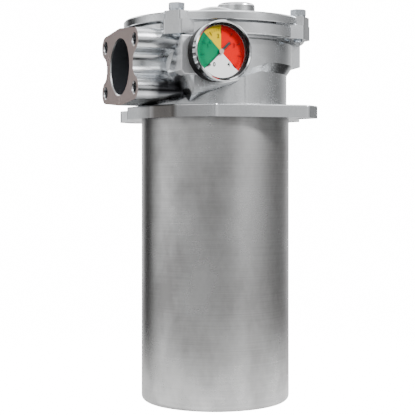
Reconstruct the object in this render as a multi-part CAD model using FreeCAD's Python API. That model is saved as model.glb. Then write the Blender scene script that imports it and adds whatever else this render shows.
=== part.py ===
import FreeCAD, Part
import math
import os

os.makedirs("parts", exist_ok=True)

V = FreeCAD.Vector
Z_UP = V(0, 0, 1)

# Frame: origin on the bowl's axis in the tank face (the mounting plate's underside),
# +Z up through the cover, the inlet port along -X and the gauge facing -Y. Millimetres.

# Bowl: a drawn aluminium tube with a closed end and an outlet collar turned into it.
bowl_od = 140.0
bowl_wall = 2.5
bowl_depth = 264.0
bowl_corner_r = 5.0
outlet_bore_r = 20.5
outlet_collar_wall = 2.5
outlet_collar_height = 20.0

# Head casting: body, mounting plate with two ears, rim ring and bolt lugs.
head_wall = 6.0
body_inset = 2.2
body_flare = 5.7
lower_body_r = bowl_od / 2 - body_inset
upper_body_r = lower_body_r + body_flare
flare_low_z = 42.0
flare_high_z = 50.2
slope_low_z = 37.3
slope_deg = 18.3
plate_thickness = 11.5
plate_margin = 8.5
plate_outline = ((0.0, 4.4), (45.0, 7.3), (69.0, 0.0), (90.0, 1.5), (118.2, 1.5))
plate_corner_r = 3.0
plate_side_r = 14.0
plate_edge_r = 1.2
ear_angle_deg = -52.5
ear_reach = 32.5
ear_root_inset = 3.4
ear_flank_inset = 1.0
ear_tip_r = bowl_od / 2 + ear_reach
ear_tip_half_width = 10.5
ear_base_half_width = 21.0
ear_corner_r = 6.5
tank_bolt_edge = 11.5
tank_bolt_circle_r = ear_tip_r - tank_bolt_edge
tank_bolt_hole_r = 5.5
ring_overhang = 11.0
ring_wall = 12.0
ring_r = upper_body_r + ring_overhang
ring_height = 12.0
head_height = 85.0
joint_relief = 1.3
joint_land_width = 7.0
spigot_depth = 22.0
spigot_clearance = 0.05
bowl_seat_depth = 3.0
bowl_seat_gap = 0.1
parting_rib_width = 2.6
parting_rib_rise = 0.6

# Cover joint: register spigot, four bolts in lugs.
cover_overhang = 2.5
cover_r = ring_r + cover_overhang
cover_rim_height = 8.0
register_wall = 6.5
cover_register_r = upper_body_r - register_wall
cover_register_depth = 9.0
register_clearance = 0.15
cover_plate_thickness = 7.0
dome_base_r = 32.0
dome_rise = 15.5
boss_offset = 22.0
boss_r = 18.0
boss_rise = 19.5
boss_edge_r = 3.0
lug_reach = 5.3
lug_sink = 1.5
bolt_edge = 8.6
bolt_angle_deg = -48.4
bolt_count = 4
lug_tip_r = cover_r + lug_reach
lug_root_r = upper_body_r - lug_sink
bolt_circle_r = lug_tip_r - bolt_edge
lug_corner_r = 3.0
cover_lug_tip_half = 7.0
cover_lug_root_half = 22.0
head_lug_tip_half = 8.5
head_lug_root_half = 26.0
bolt_r = 4.0
bolt_clearance = 0.5
thread_gap = 0.06
bolt_head_af = 13.0
bolt_head_height = 5.3
bolt_tip = 1.8
bolt_head_turns_deg = (33.0, 8.0, 21.0, 39.0)
flat_washer_r = 7.5
flat_washer_thickness = 1.6
spot_face_gap = 0.4
lock_washer_r = 6.9
lock_washer_thickness = 2.0
lock_washer_gap = 1.6

# Inlet port: a 51 mm bore with a four-bolt split-flange pattern.
port_reach = 23.0
port_face_x = -upper_body_r - port_reach
port_z = 47.3
port_bore_r = 25.5
port_chamfer = 1.0
port_disc_r = 35.5
port_bolt_half_y = 38.9
port_bolt_half_z = 21.45
port_lug_r = 10.5
port_waist_r = 11.0
port_thread_r = 5.1
port_thread_depth = 24.0
port_countersink = 1.0

# Gauge pad and the plain cast boss on the far side.
pad_proud = 6.5
pad_face_y = -upper_body_r - pad_proud
pad_left = 28.6
pad_lean = 9.5
pad_right = 27.5
pad_top = 15.5
pad_step = 18.5
pad_bottom = 31.0
pad_rise = 9.0
pad_notch = 12.5
pad_corner = 3.5
pad_splay = 14.0
pad_depth = 31.0
side_boss_reach = 11.5
side_boss_x = upper_body_r + side_boss_reach
side_boss_half_width = 14.0
side_boss_drop = 7.0
side_boss_top = head_height - side_boss_drop
side_boss_height = 25.0

# O-rings.
static_ring_r = 1.4
ring_gap = 0.06

# Filter element.
element_side_gap = 11.5
element_od = bowl_od - 2 * bowl_wall - 2 * element_side_gap
element_id = 60.0
element_top_z = 18.0
cap_thickness = 2.0
cap_skirt = 9.0
cap_skirt_wall = 1.2
pleat_count = 44
pleat_thickness = 1.0
media_end_gap = 0.3
core_wall = 2.0
core_window_columns = 6
core_window_rows = 7
core_window_height = 20.0
core_window_half_angle = 18.0
bottom_gap = 4.0
element_ring_r = 1.6

# Hold-down spring between the cover and the element.
hold_spring_r = 30.0
hold_spring_wire_r = 1.8
hold_spring_turns = 4.0
spring_ring_height = 5.0

# Bypass valve in the element's top cap.
bypass_bore_r = 12.0
bypass_seat_width = 3.0
bypass_lift = 8.0
bypass_disc_thickness = 2.0
bypass_stem_r = 2.5
bypass_guide_gap = 0.06
cage_wall = 1.5
cage_height = 34.0
cage_floor = 2.5
cage_rim_height = 14.0
cage_window_count = 4
cage_foot_width = 4.0
bypass_spring_r = 7.5
bypass_spring_wire_r = 0.9
bypass_spring_turns = 5.0

# Gauge: a 50 mm back-mounted dial gauge with its movement.
gauge_x = -39.7
gauge_z = 54.0
gauge_depth = 23.0
gauge_standoff = 4.0
case_r = 25.2
case_wall = 0.8
bezel_wall = 1.2
bezel_r = case_r + bezel_wall
bezel_depth = 7.5
bezel_cover = 0.8
bezel_lip_r = case_r - bezel_cover
bezel_lip_thickness = 1.4
bezel_round = 0.9
case_back_y = pad_face_y - gauge_standoff
window_thickness = 2.0
gasket_thickness = 1.0
gasket_width = 2.0
dial_side_gap = 1.0
dial_r = case_r - dial_side_gap
dial_thickness = 0.6
dial_to_window = 3.6
dial_hole_r = 1.6
dial_screw_u = 9.5
dial_screw_v = 8.0
dial_screw_r = 1.3
dial_screw_height = 0.7
dial_screw_length = 3.0
socket_hex_af = 14.0
gauge_seal_r = 8.5
gauge_seal_thickness = 1.0
stem_r = 4.86
stem_length = 9.0
socket_block_width = 12.0
socket_block_top = 5.0
socket_block_bottom = 19.0
socket_block_depth = 4.0
tube_bend_r = 17.5
tube_wide = 3.6
tube_thick = 1.7
tube_start_deg = 249.5
tube_sweep_deg = -258.0
tube_tip_length = 3.0
movement_gap = 3.4
movement_plate = 0.8
movement_half_width = 6.5
movement_top = 5.0
movement_bottom = 14.0
movement_bar_height = 5.3
movement_bar_half_width = 11.3
pillar_r = 1.1
pillar_u = 4.8
pillar_high_v = 3.0
pillar_low_v = -12.5
dial_post_r = 1.6
arbor_r = 0.7
arbor_gap = 0.03
gear_module = 0.4
gear_pressure_deg = 25.0
gear_addendum = 0.8
gear_dedendum = 1.15
pinion_teeth = 10
sector_full_teeth = 40
sector_first_tooth = -1
sector_last_tooth = 9
gear_backlash = 0.10
gear_width = 0.9
gear_lift = 1.0
sector_hub_r = 1.7
sector_rim = 1.2
sector_tail = 5.0
sector_tail_deg = 124.0
sector_tail_half_width = 1.0
link_half_width = 0.7
link_thickness = 0.5
link_gap = 0.2
pivot_pin_r = 0.45
pointer_length = 17.6
pointer_half_width = 0.5
pointer_tail = 10.4
pointer_tail_half_width = 1.25
pointer_thickness = 0.35
pointer_hub_r = 2.2
pointer_hub_height = 1.1
pointer_rest_deg = 225.0
stop_pin_r = 0.6
stop_pin_height = 1.4

cavity_r = lower_body_r - head_wall


def cylinder(radius, height, base, direction=Z_UP):
    return Part.makeCylinder(radius, height, base, direction)


def tube(outer, inner, height, base, direction=Z_UP):
    return cylinder(outer, height, base, direction).cut(cylinder(inner, height, base, direction))


def turned(points):
    """Solid of revolution about Z from (radius, z) points."""
    outline = [V(r, 0, z) for r, z in points]
    return Part.Face(Part.makePolygon(outline + [outline[0]])).revolve(V(0, 0, 0), Z_UP, 360)


def torus(ring_radius, section_radius, z):
    return Part.makeTorus(ring_radius, section_radius, V(0, 0, z), Z_UP)


def prism(points, depth):
    """Straight extrusion of a closed polygon of vectors along a vector."""
    return Part.Face(Part.makePolygon(points + [points[0]])).extrude(depth)


def hexagon(across_flats, height, base, direction=Z_UP):
    blank = Part.makePolygon([V(across_flats / math.sqrt(3) * math.cos(math.radians(60 * k)),
                                across_flats / math.sqrt(3) * math.sin(math.radians(60 * k)), 0)
                              for k in range(7)])
    solid = Part.Face(blank).extrude(V(0, 0, height))
    solid.Placement = FreeCAD.Placement(base, FreeCAD.Rotation(Z_UP, direction))
    return solid


def turn_z(shape, degrees):
    turned_shape = shape.copy()
    turned_shape.rotate(V(0, 0, 0), Z_UP, degrees)
    return turned_shape


def bolt_angles():
    return [bolt_angle_deg + k * 360.0 / bolt_count for k in range(bolt_count)]


def polar(radius, degrees, z=0.0):
    return V(radius * math.cos(math.radians(degrees)), radius * math.sin(math.radians(degrees)), z)


def save(name, shape):
    """Write one node, a solid or a group of separate solids."""
    solids = shape.Solids
    body = solids[0] if len(solids) == 1 else Part.makeCompound(solids)
    body.exportStep("parts/" + name + ".step")
    print(name, len(solids), "solid(s)", round(sum(s.Volume for s in solids), 1), "mm3", body.isValid())


def lug(tip_half, root_half, z_low, z_high):
    """Bolt lug along +X: a blunt nose with rounded corners and flanks that widen to its root."""
    height = V(0, 0, z_high - z_low)
    body = prism([V(lug_root_r, -root_half, z_low), V(lug_tip_r, -tip_half, z_low),
                  V(lug_tip_r, tip_half, z_low), V(lug_root_r, root_half, z_low)], height)
    corners = [e for e in body.Edges if abs(e.tangentAt(e.FirstParameter).z) > 0.9
               and e.CenterOfMass.x > lug_tip_r - 0.01]
    return body.makeFillet(lug_corner_r, corners)


def plate():
    """Many-sided mounting plate with two ears, each with one long straight flank, for the tank bolts."""
    base_r = bowl_od / 2 + plate_margin
    outline = [polar(base_r + proud, ear_angle_deg + half_turn + turn)
               for half_turn in (0, 180) for turn, proud in plate_outline]
    octagon = prism(outline, V(0, 0, plate_thickness))
    upright = [e for e in octagon.Edges if abs(e.tangentAt(e.FirstParameter).z) > 0.9]
    middles = [polar(base_r + plate_outline[3][1], ear_angle_deg + side * 90, plate_thickness / 2)
               for side in (-1, 1)]
    corners = [e for e in upright if min(e.CenterOfMass.distanceToPoint(m) for m in middles) >= 1]
    octagon = octagon.makeFillet(plate_corner_r, corners)
    upright = [e for e in octagon.Edges if abs(e.tangentAt(e.FirstParameter).z) > 0.9]
    sides = [e for e in upright if min(e.CenterOfMass.distanceToPoint(m) for m in middles) < 1]
    octagon = octagon.makeFillet(plate_side_r, sides)
    root = bowl_od / 2 - ear_root_inset
    flank_turn, flank_proud = plate_outline[-1]
    ear_points = [polar(base_r + flank_proud - ear_flank_inset, flank_turn - 180),
                  V(ear_tip_r, -ear_tip_half_width, 0), V(ear_tip_r, ear_tip_half_width, 0),
                  V(root, ear_base_half_width, 0)]
    ear = prism(ear_points, V(0, 0, plate_thickness))
    tips = [e for e in ear.Edges if abs(e.tangentAt(e.FirstParameter).z) > 0.9
            and e.CenterOfMass.x > ear_tip_r - 1]
    ear = ear.makeFillet(ear_corner_r, tips)
    solid = octagon
    for side in (0, 180):
        solid = solid.fuse(turn_z(ear, ear_angle_deg + side))
    solid = solid.removeSplitter()
    rim = [e for e in solid.Edges if abs(e.BoundBox.ZMin - plate_thickness) < 0.001]
    return solid.makeFillet(plate_edge_r, rim)


def slope_ring(radius, z):
    """Ellipse where an upright cylinder meets the plane that slopes down towards the port."""
    rise = math.tan(math.radians(slope_deg))
    return Part.Wire(Part.Ellipse(V(radius, 0, z + radius * rise), V(0, radius, z), V(0, 0, z)).toShape())


def upper_body():
    """Wider upper body with a conical underside, and a longer skirt that slopes down to the port."""
    top = head_height - ring_height + 1.0
    inner_r = lower_body_r - 0.01
    level = turned([(0, flare_low_z), (inner_r, flare_low_z), (upper_body_r, flare_high_z),
                    (upper_body_r, top), (0, top)])
    shoulder_z = slope_low_z + body_flare
    cone = Part.makeLoft([slope_ring(inner_r, slope_low_z), slope_ring(upper_body_r, shoulder_z)], True, True)
    rise = math.tan(math.radians(slope_deg))
    far = 2 * upper_body_r
    under = prism([V(-far, -far, shoulder_z - rise * far), V(far, -far, shoulder_z + rise * far),
                   V(far, -far, -far), V(-far, -far, -far)], V(0, 2 * far, 0))
    skirt = cylinder(upper_body_r, top, V(0, 0, 0)).cut(under)
    return level.fuse(skirt).fuse(cone)


def port_edges(side, up):
    """Edges of one quarter of the port flange: strap line, lug nose and concave waist."""
    spread = math.hypot(port_bolt_half_y, port_bolt_half_z)
    heading = math.atan2(port_bolt_half_z, port_bolt_half_y)
    touch = heading + math.acos((port_disc_r - port_lug_r) / spread)
    waist_reach = port_disc_r + port_waist_r
    lug_reach = port_lug_r + port_waist_r
    inset = math.acos((spread ** 2 + waist_reach ** 2 - lug_reach ** 2) / (2 * spread * waist_reach))
    waist_turn = heading - inset

    def at(radius, angle, y=0.0, z=0.0):
        return V(port_face_x, side * (y + radius * math.cos(angle)), port_z + up * (z + radius * math.sin(angle)))
    lug_y, lug_z = port_bolt_half_y, port_bolt_half_z
    waist_y = waist_reach * math.cos(waist_turn)
    waist_z = waist_reach * math.sin(waist_turn)
    nose = math.atan2(waist_z - lug_z, waist_y - lug_y)
    back = math.atan2(lug_z - waist_z, lug_y - waist_y)
    dip = waist_turn - math.pi
    strap = Part.makeLine(at(port_disc_r, touch), at(port_lug_r, touch, lug_y, lug_z))
    lug_arc = Part.Arc(at(port_lug_r, touch, lug_y, lug_z), at(port_lug_r, (touch + nose) / 2, lug_y, lug_z),
                       at(port_lug_r, nose, lug_y, lug_z)).toShape()
    waist_mid = (back + dip + 2 * math.pi) / 2
    waist = Part.Arc(at(port_waist_r, back, waist_y, waist_z), at(port_waist_r, waist_mid, waist_y, waist_z),
                     at(port_waist_r, dip, waist_y, waist_z)).toShape()
    return [strap, lug_arc, waist], at(port_disc_r, touch), at(port_disc_r, waist_turn)


def under_joint(shape):
    """Keeps what lies below the ring's top, where the cover's rim needs room."""
    reach = 2 * (ring_r + port_reach)
    room = Part.makeBox(2 * reach, 2 * reach, head_height - joint_relief + reach, V(-reach, -reach, -reach))
    return shape.common(room)


def port_neck():
    """Inlet neck: a disc with four bolt lugs, drawn straight back into the body."""
    edges = []
    high = {}
    flat = {}
    for side in (-1, 1):
        for up in (-1, 1):
            quarter, high[side, up], flat[side, up] = port_edges(side, up)
            edges += quarter
    for up in (-1, 1):
        crown = V(port_face_x, 0, port_z + up * port_disc_r)
        edges.append(Part.Arc(high[-1, up], crown, high[1, up]).toShape())
    for side in (-1, 1):
        middle = V(port_face_x, side * port_disc_r, port_z)
        edges.append(Part.Arc(flat[side, -1], middle, flat[side, 1]).toShape())
    outline = Part.Face(Part.Wire(Part.__sortEdges__(edges)))
    return outline.extrude(V(-port_face_x - cavity_r * 0.6, 0, 0))


def gauge_pad():
    """Flat pad for the gauge on a block with a wall towards the port and a sloping underside."""
    left, right = gauge_x - pad_left, gauge_x + pad_right
    top, step = gauge_z + pad_top, gauge_z - pad_step
    low = gauge_z - pad_bottom
    inner = left + pad_notch
    pad_root = pad_face_y + pad_depth
    front = [V(left, pad_face_y, step + pad_corner), V(left + pad_corner, pad_face_y, step),
             V(right, pad_face_y, step), V(right, pad_face_y, top), V(left, pad_face_y, top)]
    back = [V(left, pad_root, step + pad_corner), V(left + pad_corner, pad_root, step),
            V(right + pad_splay, pad_root, step), V(right + pad_splay, pad_root, top + 1.5),
            V(left + pad_lean, pad_root, top + 1.5)]
    block = Part.makeLoft([Part.makePolygon(points + [points[0]]) for points in (front, back)], True, True)
    ahead = [e for e in block.Edges if abs(e.BoundBox.YMax - pad_face_y) < 0.001]
    block = block.makeFillet(1.2, ahead)
    shelf = [V(inner, pad_face_y + 1, step + 1), V(inner, pad_face_y + 1, low),
             V(right, pad_face_y + 1, low + pad_rise), V(right, pad_face_y + 1, step + 1)]
    web = [V(left + 2, pad_root, step + 1), V(inner + 8, pad_root, low - 9),
           V(right, pad_root, low + pad_rise - 6), V(right, pad_root, step + 1)]
    wedge = Part.makeLoft([Part.makePolygon(points + [points[0]]) for points in (shelf, web)], True, True)
    return block.fuse(wedge)


def side_boss():
    """Plain cast boss opposite the port."""
    low = side_boss_top - side_boss_height
    inner = cavity_r + 2
    points = [V(inner, -side_boss_half_width, low - 6), V(side_boss_x, -side_boss_half_width, low),
              V(side_boss_x, -side_boss_half_width, side_boss_top),
              V(inner, -side_boss_half_width, side_boss_top)]
    block = prism(points, V(0, 2 * side_boss_half_width, 0))
    outer = [e for e in block.Edges if e.BoundBox.XMin > side_boss_x - 0.001]
    return block.makeFillet(2.0, outer)


def head_casting():
    ring_base = head_height - ring_height
    body = cylinder(lower_body_r, ring_base, V(0, 0, 0))
    body = body.fuse(upper_body())
    body = body.fuse(plate())
    shelf = turned([(upper_body_r - 3, ring_base - 4.0), (upper_body_r + 3.5, ring_base - 2.0),
                    (upper_body_r + 3.5, ring_base), (ring_r - 0.8, ring_base), (ring_r, ring_base + 0.8),
                    (ring_r, head_height - joint_relief - 0.8), (ring_r - 0.8, head_height - joint_relief),
                    (cover_register_r + joint_land_width, head_height - joint_relief),
                    (cover_register_r + joint_land_width, head_height), (upper_body_r - ring_wall, head_height),
                    (upper_body_r - ring_wall, ring_base - 4.0)])
    body = body.fuse(shelf)
    for angle in bolt_angles():
        shape = lug(head_lug_tip_half, head_lug_root_half, ring_base - 0.5, head_height)
        body = body.fuse(turn_z(shape, angle))
    body = body.fuse(under_joint(port_neck()))
    body = body.fuse(under_joint(gauge_pad()))
    body = body.fuse(side_boss())
    rib = Part.makeBox(parting_rib_width, parting_rib_rise + 3, slope_low_z - plate_thickness,
                       V(-parting_rib_width / 2, -lower_body_r - parting_rib_rise, plate_thickness))
    body = body.fuse(rib)
    spigot_r = bowl_od / 2 - bowl_wall - spigot_clearance
    body = body.fuse(cylinder(spigot_r, spigot_depth, V(0, 0, -spigot_depth)))
    body = body.cut(tube(bowl_od / 2 + bowl_seat_gap, spigot_r, bowl_seat_depth + 1, V(0, 0, -1)))
    register_floor = head_height - cover_register_depth - 1.0
    body = body.cut(cylinder(cavity_r, head_height + spigot_depth, V(0, 0, -spigot_depth)))
    body = body.cut(turned([(0, register_floor - 4), (cavity_r, register_floor - 4),
                            (cover_register_r, register_floor), (cover_register_r, head_height - 0.8),
                            (cover_register_r + 0.8, head_height), (cover_register_r + 0.8, head_height + 2),
                            (0, head_height + 2)]))
    body = body.cut(cylinder(port_bore_r, -port_face_x, V(port_face_x, 0, port_z), V(1, 0, 0)))
    body = body.cut(Part.makeCone(port_bore_r + port_chamfer, port_bore_r, port_chamfer,
                                  V(port_face_x, 0, port_z), V(1, 0, 0)))
    for side in (-1, 1):
        for up in (-1, 1):
            mouth = V(port_face_x, side * port_bolt_half_y, port_z + up * port_bolt_half_z)
            body = body.cut(cylinder(port_thread_r, port_thread_depth, mouth, V(1, 0, 0)))
            body = body.cut(Part.makeCone(port_thread_r + port_countersink, port_thread_r,
                                          port_countersink, mouth, V(1, 0, 0)))
    for side in (0, 180):
        body = body.cut(cylinder(tank_bolt_hole_r, plate_thickness + 2,
                                 polar(tank_bolt_circle_r, ear_angle_deg + side, -1)))
    for angle in bolt_angles():
        body = body.cut(cylinder(bolt_r + thread_gap, ring_height + 4,
                                 polar(bolt_circle_r, angle, ring_base - 2)))
    body = body.cut(cylinder(stem_r + thread_gap, -pad_face_y, V(gauge_x, pad_face_y, gauge_z), V(0, 1, 0)))
    groove_bottom = spigot_r - 2 * static_ring_r + spigot_clearance - ring_gap
    groove = tube(spigot_r + 1, groove_bottom, 2 * static_ring_r + 0.8,
                  V(0, 0, -spigot_depth / 2 - static_ring_r - 0.4))
    body = body.cut(groove)
    return body.removeSplitter()


def bowl():
    outer = bowl_od / 2
    inner = outer - bowl_wall
    collar = outlet_bore_r + outlet_collar_wall
    low = -bowl_depth
    bend = bowl_corner_r * (1 - math.sqrt(0.5))
    inside = bowl_corner_r - bowl_wall
    inside_bend = inside * (1 - math.sqrt(0.5))
    edges = [
        Part.makeLine(V(outlet_bore_r, 0, low), V(outer - bowl_corner_r, 0, low)),
        Part.Arc(V(outer - bowl_corner_r, 0, low), V(outer - bend, 0, low + bend),
                 V(outer, 0, low + bowl_corner_r)).toShape(),
        Part.makeLine(V(outer, 0, low + bowl_corner_r), V(outer, 0, bowl_seat_depth)),
        Part.makeLine(V(outer, 0, bowl_seat_depth), V(inner, 0, bowl_seat_depth)),
        Part.makeLine(V(inner, 0, bowl_seat_depth), V(inner, 0, low + bowl_corner_r)),
        Part.Arc(V(inner, 0, low + bowl_corner_r), V(inner - inside_bend, 0, low + bowl_wall + inside_bend),
                 V(inner - inside, 0, low + bowl_wall)).toShape(),
        Part.makeLine(V(inner - inside, 0, low + bowl_wall), V(collar, 0, low + bowl_wall)),
        Part.makeLine(V(collar, 0, low + bowl_wall), V(collar, 0, low + outlet_collar_height)),
        Part.makeLine(V(collar, 0, low + outlet_collar_height),
                      V(outlet_bore_r, 0, low + outlet_collar_height)),
        Part.makeLine(V(outlet_bore_r, 0, low + outlet_collar_height), V(outlet_bore_r, 0, low))]
    return Part.Face(Part.Wire(edges)).revolve(V(0, 0, 0), Z_UP, 360)


def bowl_o_ring():
    outer = bowl_od / 2 - bowl_wall
    return torus(outer - static_ring_r - ring_gap / 2, static_ring_r, -spigot_depth / 2)


def cover():
    base = head_height
    top = base + cover_rim_height
    register = cover_register_r - register_clearance
    plate_under = top - cover_plate_thickness
    skirt_inner = register - 8.0
    body = turned([(0, plate_under), (skirt_inner, plate_under), (skirt_inner, base - cover_register_depth),
                   (register - 0.6, base - cover_register_depth), (register, base - cover_register_depth + 0.6),
                   (register, base), (cover_r - 0.6, base), (cover_r, base + 0.6), (cover_r, top - 1.5),
                   (cover_r - 1.5, top), (0, top)])
    for angle in bolt_angles():
        body = body.fuse(turn_z(lug(cover_lug_tip_half, cover_lug_root_half, base, top), angle))
    sphere_r = (dome_base_r ** 2 + dome_rise ** 2) / (2 * dome_rise)
    dome = Part.makeSphere(sphere_r, V(0, 0, top + dome_rise - sphere_r))
    dome = dome.common(cylinder(dome_base_r + 1, dome_rise + 1, V(0, 0, top - 0.5)))
    boss = cylinder(boss_r, boss_rise + 1, V(boss_offset, 0, top - 1))
    crown = [e for e in boss.Edges if e.BoundBox.ZMin > top + boss_rise - 0.001]
    boss = boss.makeFillet(boss_edge_r, crown)
    body = body.fuse(dome).fuse(boss)
    seat_z = plate_under
    hollow = cylinder(hold_spring_r + hold_spring_wire_r + 1.0, 1.5, V(0, 0, seat_z))
    body = body.cut(hollow)
    for angle in bolt_angles():
        body = body.cut(cylinder(bolt_r + bolt_clearance, cover_rim_height + 2,
                                 polar(bolt_circle_r, angle, base - 1)))
        body = body.cut(cylinder(flat_washer_r + spot_face_gap, flat_washer_thickness + 1,
                                 polar(bolt_circle_r, angle, top - flat_washer_thickness)))
    groove_bottom = register - 2 * static_ring_r + register_clearance - ring_gap
    groove_z = base - cover_register_depth / 2
    body = body.cut(tube(register + 1, groove_bottom, 2 * static_ring_r + 0.6,
                         V(0, 0, groove_z - static_ring_r - 0.3)))
    return body.removeSplitter()


def cover_o_ring():
    return torus(cover_register_r - static_ring_r - ring_gap / 2, static_ring_r,
                 head_height - cover_register_depth / 2)


def cover_stack_z():
    return head_height + cover_rim_height


def cover_flat_washers():
    """Small plain washers, each in its spot face with its top level with the lug."""
    z = cover_stack_z() - flat_washer_thickness
    rings = [tube(flat_washer_r, bolt_r + 0.4, flat_washer_thickness, polar(bolt_circle_r, a, z))
             for a in bolt_angles()]
    return Part.makeCompound(rings)


def cover_lock_washers():
    """Split spring washers, each with its cut."""
    z = cover_stack_z()
    rings = []
    for angle in bolt_angles():
        ring = tube(lock_washer_r, bolt_r + 0.2, lock_washer_thickness, V(0, 0, 0))
        gap = Part.makeBox(lock_washer_r + 1, lock_washer_gap, 3 * lock_washer_thickness,
                           V(0, -lock_washer_gap / 2, -lock_washer_thickness))
        gap.rotate(V(0, 0, lock_washer_thickness / 2), V(1, 0, 0), 25)
        ring = turn_z(ring.cut(gap), angle + 70)
        ring.translate(polar(bolt_circle_r, angle, z))
        rings.append(ring)
    return Part.makeCompound(rings)


def cover_bolts():
    """Hexagon bolts with chamfered heads."""
    seat = cover_stack_z() + lock_washer_thickness
    length = seat - (head_height - ring_height - 0.5 - bolt_tip)
    bolts = []
    for angle, head_turn in zip(bolt_angles(), bolt_head_turns_deg):
        head = hexagon(bolt_head_af, bolt_head_height, V(0, 0, length))
        corner = bolt_head_af / math.sqrt(3)
        crown = Part.makeCone(corner + bolt_head_height / math.tan(math.radians(30)), corner * 0.92,
                              bolt_head_height, V(0, 0, length))
        head = head.common(crown)
        bolt = head.fuse(cylinder(bolt_r, length, V(0, 0, 0)))
        tip = [e for e in bolt.Edges if e.BoundBox.ZMax < 0.001]
        bolt = bolt.makeChamfer(0.8, tip)
        bolt = turn_z(bolt.removeSplitter(), angle + head_turn)
        bolt.translate(polar(bolt_circle_r, angle, seat - length))
        bolts.append(bolt)
    return Part.makeCompound(bolts)


def coil_spring(mean_r, wire_r, turns, low, high):
    """Compression spring with plain ends on both seats, its wire drawn with eight flats."""
    rise = high - low - 2 * wire_r
    path = Part.makeHelix(rise / turns, rise, mean_r)
    corners = [V(mean_r + wire_r * math.cos(math.radians(45 * k)), 0, wire_r * math.sin(math.radians(45 * k)))
               for k in range(8)]
    section = Part.makePolygon(corners + [corners[0]])
    coil = Part.Wire(path.Edges).makePipeShell([section], True, True)
    coil.translate(V(0, 0, low + wire_r))
    return coil


def element_bottom_z():
    return -bowl_depth + bowl_wall + bottom_gap


def element_cap(z_face, direction, hole_r):
    """End cap: a disc with an outer skirt that holds the pleats."""
    skirt_end = z_face + direction * cap_skirt
    body = turned([(hole_r, z_face), (element_od / 2, z_face), (element_od / 2, skirt_end),
                   (element_od / 2 - cap_skirt_wall, skirt_end),
                   (element_od / 2 - cap_skirt_wall, z_face + direction * cap_thickness),
                   (hole_r, z_face + direction * cap_thickness)])
    return body


def cage_outer_r():
    return bypass_bore_r + bypass_seat_width + cage_wall


def element_top_cap():
    """Top cap with the bypass seat and the ring that centres the hold-down spring."""
    cap = element_cap(element_top_z, -1, bypass_bore_r)
    rim = hold_spring_r - hold_spring_wire_r - 1.0
    collar = tube(rim, rim - cap_thickness, spring_ring_height, V(0, 0, element_top_z - 0.5))
    return cap.fuse(collar).removeSplitter()


def element_bottom_cap():
    """Bottom cap with the sleeve that slides over the outlet collar."""
    low = element_bottom_z()
    collar = outlet_bore_r + outlet_collar_wall
    inner = collar + 0.1
    outer = inner + 2 * element_ring_r + 0.8
    cap = element_cap(low, 1, inner)
    sleeve = tube(outer, inner, outlet_collar_height - bowl_wall - bottom_gap, V(0, 0, low))
    groove_z = low + (outlet_collar_height - bowl_wall - bottom_gap) / 2
    groove = tube(collar + 2 * element_ring_r + ring_gap, inner - 0.2, 2 * element_ring_r + 0.6,
                  V(0, 0, groove_z - element_ring_r - 0.3))
    return cap.fuse(sleeve).removeSplitter().cut(groove)


def element_o_ring():
    low = element_bottom_z()
    groove_z = low + (outlet_collar_height - bowl_wall - bottom_gap) / 2
    centre = outlet_bore_r + outlet_collar_wall + element_ring_r + ring_gap / 2
    return torus(centre, element_ring_r, groove_z)


def element_media():
    """Pleated pack: one zigzag wall with its folds inside and outside."""
    outer = element_od / 2 - cap_skirt_wall - 0.4
    inner = element_id / 2 + 0.4
    low = element_bottom_z() + cap_thickness + media_end_gap
    high = element_top_z - cap_thickness - media_end_gap
    fold = math.pi / pleat_count
    reach = pleat_thickness / 2 / math.sin(math.atan2(inner * fold, outer - inner) + fold / 2)
    reach = min(reach, (outer - inner) / 5)
    outside = []
    inside = []
    for k in range(2 * pleat_count):
        angle = k * fold
        crest = k % 2 == 0
        far = outer if crest else inner + reach
        near = outer - reach if crest else inner
        outside.append(V(far * math.cos(angle), far * math.sin(angle), low))
        inside.append(V(near * math.cos(angle), near * math.sin(angle), low))
    face = Part.Face([Part.makePolygon(outside + [outside[0]]), Part.makePolygon(inside + [inside[0]])])
    face.validate()
    return face.extrude(V(0, 0, high - low))


def element_core():
    """Moulded support core with rows of windows."""
    outer = element_id / 2
    low = element_bottom_z() + cap_thickness + media_end_gap
    high = element_top_z - cap_thickness - media_end_gap
    core = tube(outer, outer - core_wall, high - low, V(0, 0, low))
    pitch = (high - low) / core_window_rows
    for row in range(core_window_rows):
        z = low + pitch * (row + 0.5) - core_window_height / 2
        for column in range(core_window_columns):
            half = math.radians(core_window_half_angle)
            reach = outer + 3
            width = reach * math.sin(half)
            window = Part.makeBox(reach - outer + core_wall + 3, 2 * width, core_window_height,
                                  V(outer - core_wall - 3, -width, z))
            core = core.cut(turn_z(window, column * 360.0 / core_window_columns))
    return core


def bypass_top():
    return element_top_z - cap_thickness


def bypass_cage():
    """Cage under the top cap: a flange, windows, and a floor that guides the stem."""
    top = bypass_top()
    outer = cage_outer_r()
    inner = outer - cage_wall
    low = top - cage_height
    body = turned([(inner, top), (outer + cage_foot_width, top), (outer + cage_foot_width, top - cage_wall),
                   (outer, top - cage_wall), (outer, low), (bypass_stem_r + bypass_guide_gap, low),
                   (bypass_stem_r + bypass_guide_gap, low + cage_floor), (inner, low + cage_floor)])
    for k in range(cage_window_count):
        window = Part.makeBox(outer, outer * 0.9, cage_height - cage_rim_height,
                              V(bypass_spring_r + 2, -outer * 0.45, low + cage_floor + 3))
        body = body.cut(turn_z(window, k * 360.0 / cage_window_count + 45))
    return body


def bypass_poppet():
    """Flat poppet on a guided stem, held up against the seat."""
    top = bypass_top()
    under = top - bypass_disc_thickness
    stem_end = top - cage_height - 3.0
    disc_r = bypass_bore_r + bypass_seat_width - 0.3
    return turned([(0, top - 0.02), (disc_r, top - 0.02), (disc_r, under), (bypass_spring_r - 2, under),
                   (bypass_spring_r - 2, under - 2), (bypass_stem_r, under - 2), (bypass_stem_r, stem_end),
                   (0, stem_end)])


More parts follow.
